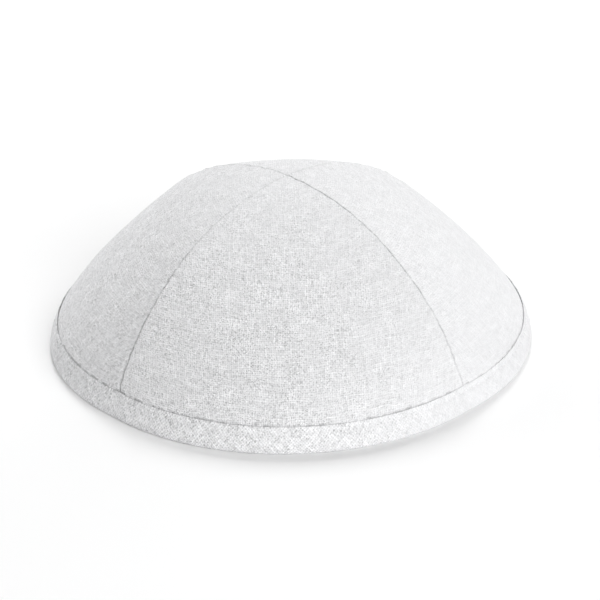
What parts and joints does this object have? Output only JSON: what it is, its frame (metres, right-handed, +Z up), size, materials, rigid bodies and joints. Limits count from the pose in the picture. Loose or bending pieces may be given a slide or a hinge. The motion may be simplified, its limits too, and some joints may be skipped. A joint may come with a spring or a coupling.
{
  "type": "kippah skullcap",
  "caption": "Domed cloth skullcap made of curved panels that meet in ridge seams, with a folded cloth band round its open rim.",
  "frame": {"origin": "on the floor under the crossing of the four seams, at the middle of the open rim", "axes": "+Z up through the crossing of the seams, -Y out through the middle of the front panel, +X out through the middle of the right panel"},
  "size_m": [0.1692, 0.1692, 0.0605],
  "materials": {
    "linen": "matte slubbed plain weave, white",
    "bias_linen": "matte slubbed plain weave cut on the bias, white"
  },
  "bodies": {
    "root": {"front_panel": "linen", "right_panel": "linen", "back_panel": "linen", "left_panel": "linen", "rim_band": "bias_linen"}
  },
  "joints": []
}
